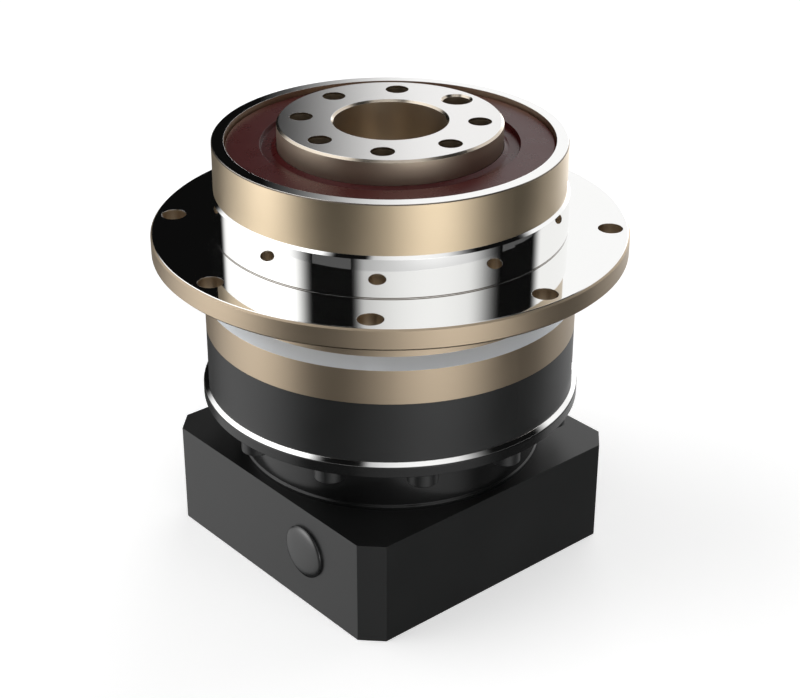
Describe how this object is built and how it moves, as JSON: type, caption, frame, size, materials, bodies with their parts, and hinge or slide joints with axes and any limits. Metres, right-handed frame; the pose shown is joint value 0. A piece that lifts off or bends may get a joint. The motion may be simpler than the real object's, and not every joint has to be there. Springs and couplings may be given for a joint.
{
  "type": "planetary gear reducer",
  "caption": "Coaxial helical planetary gear reducer with a round flange output, a wide mounting flange and a square motor block with a shaft clamp.",
  "frame": {"origin": "centre of the motor face, on the gear axis at the bottom of the square block", "axes": "+Z along the gear axis from the motor face to the output face; the block's sides lie along X and Y and the access plug is on the -Y side"},
  "size_m": [0.086, 0.086, 0.083],
  "materials": {
    "champagne_metal": "satin champagne, polished on the seats",
    "black_steel": "black oxide, satin",
    "black_anodised": "black anodised, satin",
    "plug_rubber": "matte",
    "seal_rubber": "satin red-brown",
    "output_steel": "ground face, dark turned side",
    "gear_steel": "ground",
    "bearing_steel": "polished",
    "cage_plastic": "natural",
    "spring_steel": "oiled spring steel",
    "turned_steel": "fine turned",
    "bronze": "lapped"
  },
  "bodies": {
    "housing": {"output_housing": "champagne_metal", "ring_gear": "black_steel", "input_housing": "black_anodised", "motor_adapter": "black_anodised", "body_screws": "black_steel", "adapter_screws": "black_steel", "output_seal": "seal_rubber", "input_seal": "seal_rubber", "housing_o_ring": "plug_rubber", "input_o_ring": "plug_rubber", "rear_bearing_circlip": "spring_steel", "input_bearing_circlip": "spring_steel", "front_bearing_outer_ring": "bearing_steel", "rear_bearing_outer_ring": "bearing_steel", "input_bearing_outer_ring": "bearing_steel"},
    "plug": {"access_plug": "plug_rubber"},
    "output": {"output_carrier": "output_steel", "front_bearing_inner_ring": "bearing_steel", "rear_bearing_inner_ring": "bearing_steel", "bearing_spacer": "turned_steel", "preload_nut": "turned_steel", "planet_pin_1": "gear_steel", "planet_pin_2": "gear_steel", "planet_pin_3": "gear_steel", "planet_washers_1": "bronze", "planet_washers_2": "bronze", "planet_washers_3": "bronze"},
    "input": {"input_shaft": "turned_steel", "sun_gear": "gear_steel", "clamp_collar": "turned_steel", "clamp_screw": "black_steel", "input_bearing_inner_ring": "bearing_steel", "shaft_circlip": "spring_steel"},
    "front_balls": {"front_bearing_balls": "bearing_steel", "front_bearing_cage": "cage_plastic"},
    "rear_balls": {"rear_bearing_balls": "bearing_steel", "rear_bearing_cage": "cage_plastic"},
    "input_balls": {"input_bearing_balls": "bearing_steel", "input_bearing_cage": "cage_plastic"},
    "planet_1": {"planet_gear_1": "gear_steel"},
    "needles_1": {"planet_needles_1": "bearing_steel"},
    "planet_2": {"planet_gear_2": "gear_steel"},
    "needles_2": {"planet_needles_2": "bearing_steel"},
    "planet_3": {"planet_gear_3": "gear_steel"},
    "needles_3": {"planet_needles_3": "bearing_steel"}
  },
  "joints": [
    {"name": "output_spin", "type": "hinge", "parent": "housing", "child": "output", "pos_m": [0, 0, 0.083], "axis": [0, 0, 1], "continuous": true},
    {"name": "input_spin", "type": "hinge", "parent": "housing", "child": "input", "pos_m": [0, 0, 0.0042], "axis": [0, 0, 1], "continuous": true},
    {"name": "front_balls_spin", "type": "hinge", "parent": "housing", "child": "front_balls", "pos_m": [0, 0, 0.0695], "axis": [0, 0, 1], "continuous": true},
    {"name": "rear_balls_spin", "type": "hinge", "parent": "housing", "child": "rear_balls", "pos_m": [0, 0, 0.0555], "axis": [0, 0, 1], "continuous": true},
    {"name": "input_balls_spin", "type": "hinge", "parent": "housing", "child": "input_balls", "pos_m": [0, 0, 0.024], "axis": [0, 0, 1], "continuous": true},
    {"name": "planet_1_spin", "type": "hinge", "parent": "output", "child": "planet_1", "pos_m": [0, 0.0144, 0.0392], "axis": [0, 0, 1], "continuous": true},
    {"name": "needles_1_spin", "type": "hinge", "parent": "output", "child": "needles_1", "pos_m": [0, 0.0144, 0.0392], "axis": [0, 0, 1], "continuous": true},
    {"name": "planet_2_spin", "type": "hinge", "parent": "output", "child": "planet_2", "pos_m": [-0.01247, -0.0072, 0.0392], "axis": [0, 0, 1], "continuous": true},
    {"name": "needles_2_spin", "type": "hinge", "parent": "output", "child": "needles_2", "pos_m": [-0.01247, -0.0072, 0.0392], "axis": [0, 0, 1], "continuous": true},
    {"name": "planet_3_spin", "type": "hinge", "parent": "output", "child": "planet_3", "pos_m": [0.01247, -0.0072, 0.0392], "axis": [0, 0, 1], "continuous": true},
    {"name": "needles_3_spin", "type": "hinge", "parent": "output", "child": "needles_3", "pos_m": [0.01247, -0.0072, 0.0392], "axis": [0, 0, 1], "continuous": true},
    {"name": "plug_pull", "type": "slide", "parent": "housing", "child": "plug", "axis": [0, -1, 0], "range_m": [0, 0.01]}
  ],
  "couplings": [
    {"joint": "input_spin", "follows": "output_spin", "ratio": 10},
    {"joint": "front_balls_spin", "follows": "output_spin", "ratio": 0.468},
    {"joint": "rear_balls_spin", "follows": "output_spin", "ratio": 0.468},
    {"joint": "input_balls_spin", "follows": "output_spin", "ratio": 4.3077},
    {"joint": "planet_1_spin", "follows": "output_spin", "ratio": -2.25},
    {"joint": "needles_1_spin", "follows": "output_spin", "ratio": -1.3536},
    {"joint": "planet_2_spin", "follows": "output_spin", "ratio": -2.25},
    {"joint": "needles_2_spin", "follows": "output_spin", "ratio": -1.3536},
    {"joint": "planet_3_spin", "follows": "output_spin", "ratio": -2.25},
    {"joint": "needles_3_spin", "follows": "output_spin", "ratio": -1.3536}
  ]
}
